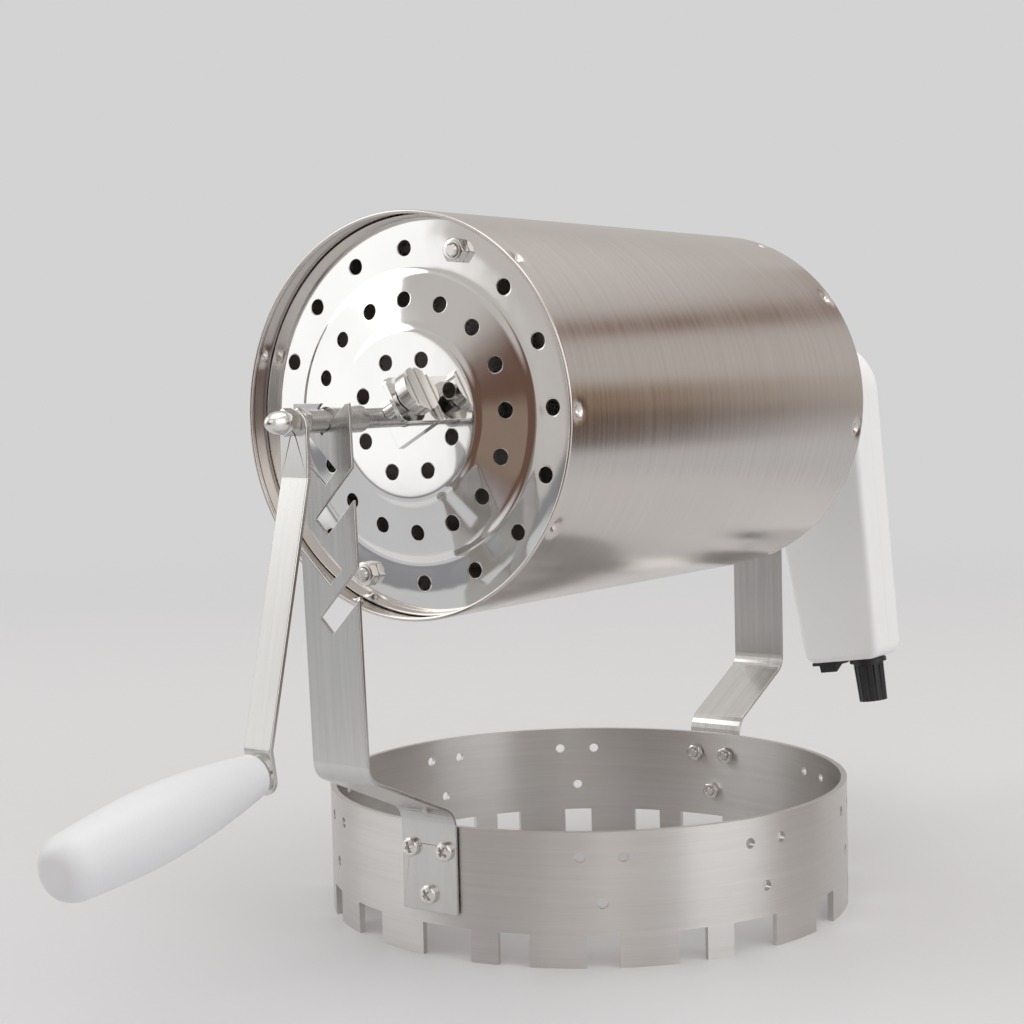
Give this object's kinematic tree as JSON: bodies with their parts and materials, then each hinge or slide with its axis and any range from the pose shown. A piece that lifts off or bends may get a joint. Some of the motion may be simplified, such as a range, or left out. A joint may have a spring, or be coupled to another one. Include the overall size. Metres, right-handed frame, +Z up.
{
  "type": "stovetop coffee bean roaster",
  "caption": "Perforated steel drum on a ring stand with slotted legs, turned by a crank with a white grip or by a hung drive unit.",
  "frame": {"origin": "centre of the base ring, on the plane that it stands on", "axes": "+Z up, the drum's axis along Y with the crank at -Y and the drive unit at +Y"},
  "size_m": [0.178, 0.4334, 0.2315],
  "materials": {
    "brushed_sheet": "brushed stainless sheet, fine lines along the strip",
    "satin_drum": "satin brushed stainless, fine lines round the drum, faint heat tint",
    "polished_plate": "mirror polished stainless",
    "vane_sheet": "plain mill finish stainless",
    "bright_fastener": "bright stainless fasteners",
    "turned_steel": "turned stainless bar",
    "black_steel": "blackened steel grub screws",
    "motor_steel": "plated motor and gearbox cans",
    "white_grip": "satin white moulded plastic",
    "white_housing": "matt white moulded plastic, slightly milky",
    "black_plastic": "black moulded plastic",
    "cell_wrap": "blue shrink wrap over the cell's can",
    "circuit_board": "green circuit board",
    "pot_case": "moulded potentiometer case"
  },
  "bodies": {
    "stand": {"base_ring": "brushed_sheet", "front_leg": "brushed_sheet", "rear_leg": "brushed_sheet", "leg_screws": "bright_fastener", "leg_nuts": "bright_fastener"},
    "drum": {"drum_sleeve": "satin_drum", "front_plate": "polished_plate", "rear_plate": "polished_plate", "tie_rods": "turned_steel", "tie_rod_nuts": "bright_fastener", "stirring_vane_a": "vane_sheet", "stirring_vane_b": "vane_sheet", "shaft": "turned_steel", "front_collar": "turned_steel", "rear_collar": "turned_steel", "collar_screws": "black_steel", "rear_hub": "turned_steel", "hub_rivets": "bright_fastener", "lock_bracket": "brushed_sheet", "crank_arm": "brushed_sheet", "arm_spacer": "turned_steel", "arm_lock_nut": "bright_fastener", "dome_nut": "bright_fastener", "grip_spindle": "turned_steel", "grip_washer": "bright_fastener", "drive_coupling": "turned_steel", "coupling_screws": "black_steel", "output_shaft": "turned_steel"},
    "grip": {"grip": "white_grip", "grip_plug": "white_grip"},
    "thumb_screw": {"thumb_screw": "bright_fastener"},
    "drive_unit": {"reaction_plate": "brushed_sheet", "reaction_pins": "turned_steel", "gearbox": "motor_steel", "gearbox_screws": "bright_fastener", "motor_can": "motor_steel", "drive_front_shell": "white_housing", "drive_rear_shell": "white_housing", "shell_screws": "bright_fastener", "battery_cells": "cell_wrap", "control_board": "circuit_board", "speed_pot": "pot_case", "switch_body": "black_plastic"},
    "speed_knob": {"speed_knob": "black_plastic", "pot_spindle": "turned_steel"},
    "switch_rocker": {"switch_rocker": "black_plastic"}
  },
  "joints": [
    {"name": "drum_turn", "type": "hinge", "parent": "stand", "child": "drum", "pos_m": [0, 0, 0.169], "axis": [0, 1, 0], "continuous": true},
    {"name": "grip_spin", "type": "hinge", "parent": "drum", "child": "grip", "pos_m": [0, -0.164, 0.072], "axis": [0, -0.9863, -0.165], "continuous": true},
    {"name": "thumb_screw_turn", "type": "hinge", "parent": "drum", "child": "thumb_screw", "pos_m": [0.00962, -0.1079, 0.17433], "axis": [0.8746, 0, 0.4848], "range_deg": [0, 360]},
    {"name": "drive_swing", "type": "hinge", "parent": "stand", "child": "drive_unit", "pos_m": [0, 0.179, 0.169], "axis": [0, 1, 0], "range_deg": [0, 16]},
    {"name": "knob_turn", "type": "hinge", "parent": "drive_unit", "child": "speed_knob", "pos_m": [0.02171, 0.179, 0.06097], "axis": [0.1392, 0, -0.9903], "range_deg": [0, 280]},
    {"name": "rocker_tip", "type": "hinge", "parent": "drive_unit", "child": "switch_rocker", "pos_m": [0.00611, 0.179, 0.05837], "axis": [0.9903, 0, 0.1392], "range_deg": [-24, 0]}
  ]
}
